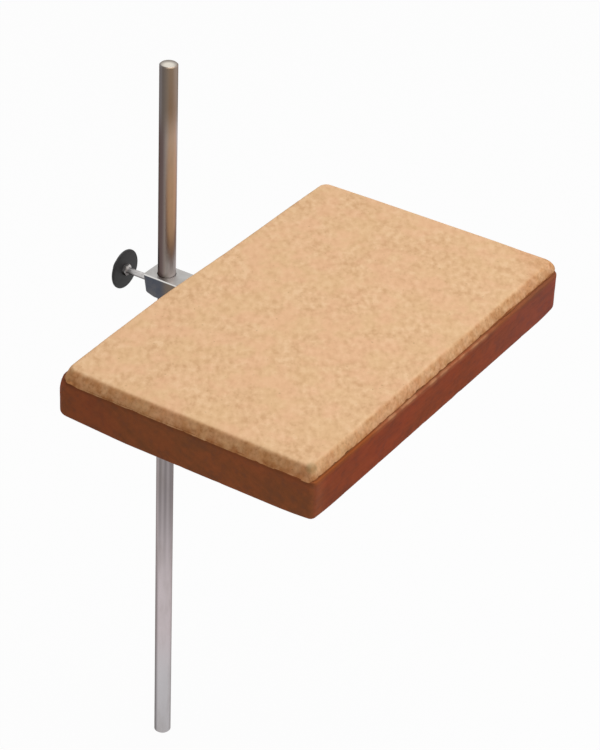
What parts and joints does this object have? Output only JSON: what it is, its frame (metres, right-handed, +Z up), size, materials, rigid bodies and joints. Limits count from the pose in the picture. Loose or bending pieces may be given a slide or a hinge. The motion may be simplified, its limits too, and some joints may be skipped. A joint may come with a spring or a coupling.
{
  "type": "rod-mounted laboratory platform",
  "caption": "Cork-topped wooden laboratory platform held level on a round steel support rod by a plated clamp block that slides, swivels and locks with a black thumbscrew.",
  "frame": {"origin": "centre of the support rod's lower end", "axes": "+Z up the rod, +X from the rod towards the board, +Y along the board's long side"},
  "size_m": [0.2104, 0.25, 0.4534],
  "materials": {
    "bright_steel": "bright drawn and polished",
    "stained_wood": "mahogany stain under satin varnish",
    "glue": "dried contact adhesive",
    "cork": "pressed fine-grain cork, uncoated",
    "plated_steel": "nickel plated",
    "screw_steel": "plated, turned",
    "nylon": "natural nylon",
    "brass": "turned",
    "black_plastic": "moulded, satin black"
  },
  "bodies": {
    "rod": {"support_rod": "bright_steel"},
    "liner": {"wear_ring": "nylon"},
    "platform": {"wood_board": "stained_wood", "glue_film": "glue", "cork_pad": "cork", "clamp_block": "plated_steel", "edge_plate": "plated_steel", "plate_screws": "screw_steel", "block_screws": "screw_steel"},
    "pad": {"pressure_pad": "brass"},
    "thumbscrew": {"clamp_screw": "screw_steel", "lock_nut": "screw_steel", "screw_knob": "black_plastic"}
  },
  "joints": [
    {"name": "platform_height", "type": "slide", "parent": "rod", "child": "liner", "axis": [0, 0, 1], "range_m": [-0.25, 0.12]},
    {"name": "platform_swivel", "type": "hinge", "parent": "liner", "child": "platform", "pos_m": [0, 0, 0.3203], "axis": [0, 0, 1], "continuous": true},
    {"name": "pad_advance", "type": "slide", "parent": "platform", "child": "pad", "axis": [1, 0, 0], "range_m": [-0.002, 0]},
    {"name": "screw_turn", "type": "hinge", "parent": "pad", "child": "thumbscrew", "pos_m": [-0.0069, 0, 0.3193], "axis": [1, 0, 0], "range_deg": [-540, 0]}
  ],
  "couplings": [
    {"joint": "pad_advance", "follows": "screw_turn", "m_per_rad": 0.000095493}
  ]
}
